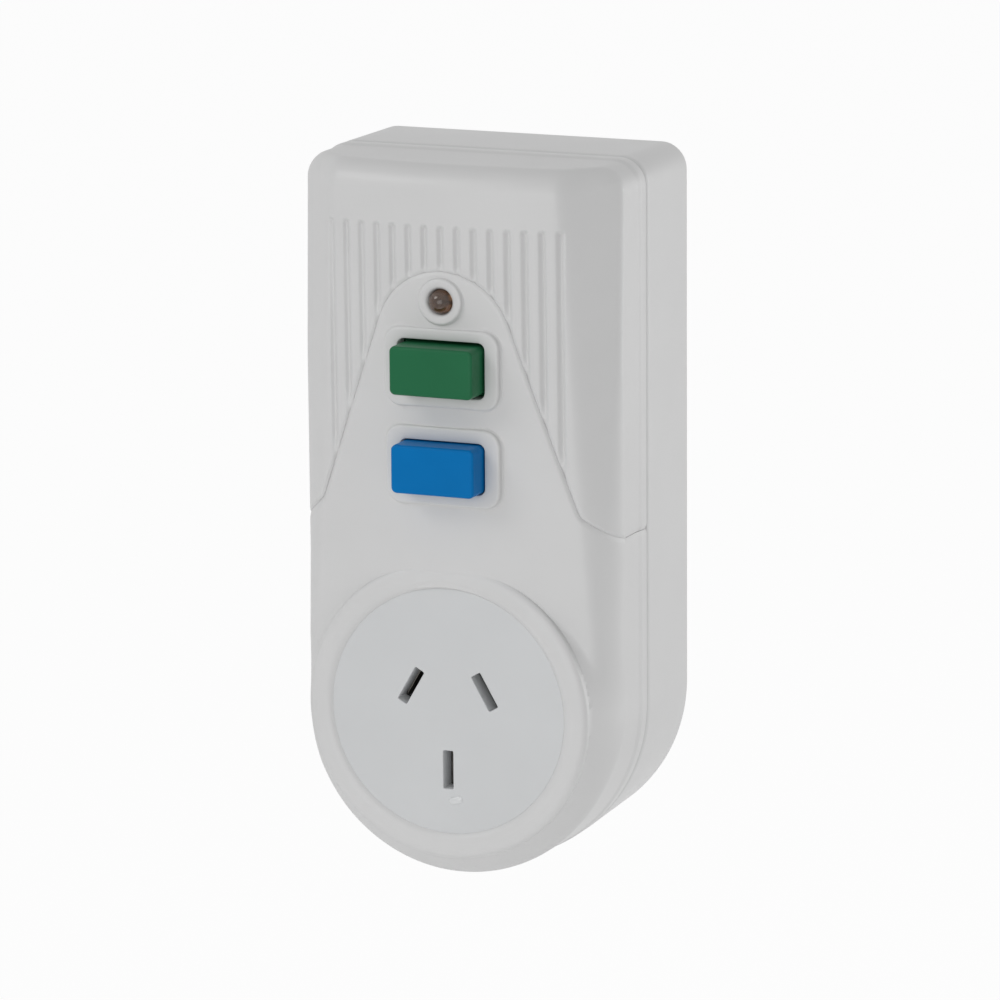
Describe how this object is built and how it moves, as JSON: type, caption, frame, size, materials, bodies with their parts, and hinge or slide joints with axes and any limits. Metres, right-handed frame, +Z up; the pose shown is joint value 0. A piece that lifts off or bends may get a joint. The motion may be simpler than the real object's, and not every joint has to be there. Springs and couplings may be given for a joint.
{
  "type": "rcd adapter plug",
  "caption": "Plug-in residual current adapter: flat-pin wall plug behind, switched outlet in a round ring in front, test and reset buttons and a lamp above it.",
  "frame": {"origin": "on the rear face, at the centre of the plug pins' pattern", "axes": "+Y into the wall along the pins, +Z up, so that the front with the outlet faces -Y"},
  "size_m": [0.059, 0.0646, 0.1242],
  "materials": {
    "shell_plastic": "satin moulded",
    "outlet_plastic": "satin moulded",
    "base_plastic": "matt",
    "green_plastic": "satin",
    "blue_plastic": "satin",
    "lamp_plastic": "clear, tinted",
    "contact_brass": "stamped",
    "pin_brass": "drawn",
    "sleeve_plastic": "matt",
    "steel": "drawn",
    "copper": "enamelled wire",
    "bridge_copper": "stamped",
    "frame_plastic": "matt",
    "carrier_plastic": "matt",
    "bobbin_plastic": "matt",
    "ferrite": "sintered",
    "brown_insulation": "satin",
    "blue_insulation": "satin",
    "board_laminate": "lacquered",
    "chip_plastic": "matt",
    "capacitor_sleeve": "shrunk film",
    "varistor_coat": "dipped",
    "resistor_coat": "lacquered"
  },
  "bodies": {
    "housing": {"rear_shell": "shell_plastic", "front_cover": "shell_plastic", "hood": "shell_plastic", "outlet_face": "outlet_plastic", "outlet_base": "base_plastic", "active_receptacle": "contact_brass", "neutral_receptacle": "contact_brass", "earth_receptacle": "contact_brass", "active_pin": "pin_brass", "neutral_pin": "pin_brass", "earth_pin": "pin_brass", "active_sleeve": "sleeve_plastic", "neutral_sleeve": "sleeve_plastic", "reset_spring": "steel", "test_spring": "steel", "test_pads": "contact_brass", "contact_frame": "frame_plastic", "active_line_contact": "contact_brass", "neutral_line_contact": "contact_brass", "opening_springs": "steel", "solenoid_frame": "steel", "solenoid_bobbin": "bobbin_plastic", "solenoid_coil": "copper", "plunger_spring": "steel", "toroid_core": "ferrite", "toroid_winding": "copper", "active_wire": "brown_insulation", "neutral_wire": "blue_insulation", "circuit_board": "board_laminate", "lamp": "lamp_plastic", "lamp_leads": "steel", "control_chip": "chip_plastic", "thyristor": "chip_plastic", "capacitor": "capacitor_sleeve", "varistor": "varistor_coat", "diodes": "chip_plastic", "test_resistor": "resistor_coat", "housing_screws": "steel", "board_screws": "steel"},
    "reset": {"reset_button": "green_plastic"},
    "test": {"test_button": "blue_plastic", "test_bridge": "bridge_copper"},
    "carrier": {"contact_carrier": "carrier_plastic", "active_bridge": "bridge_copper", "neutral_bridge": "bridge_copper"},
    "latch": {"latch": "steel"},
    "plunger": {"plunger": "steel"}
  },
  "joints": [
    {"name": "reset_press", "type": "slide", "parent": "housing", "child": "reset", "axis": [0, 1, 0], "range_m": [0, 0.0025], "stiffness_N_per_m": 400, "springref_m": -0.0025, "deforming": ["reset_spring", "opening_springs"]},
    {"name": "test_press", "type": "slide", "parent": "housing", "child": "test", "axis": [0, 1, 0], "range_m": [0, 0.0015], "stiffness_N_per_m": 500, "springref_m": -0.002, "deforming": ["test_spring"]},
    {"name": "carrier_drop", "type": "slide", "parent": "reset", "child": "carrier", "axis": [0, 1, 0], "range_m": [0, 0.002]},
    {"name": "latch_slide", "type": "slide", "parent": "carrier", "child": "latch", "axis": [0, 0, -1], "range_m": [0, 0.002]},
    {"name": "plunger_slide", "type": "slide", "parent": "housing", "child": "plunger", "axis": [0, 0, -1], "range_m": [0, 0.002], "stiffness_N_per_m": 300, "springref_m": -0.002, "deforming": ["plunger_spring"]}
  ],
  "couplings": [
    {"joint": "latch_slide", "follows": "carrier_drop", "ratio": 1},
    {"joint": "plunger_slide", "follows": "carrier_drop", "ratio": 1}
  ]
}
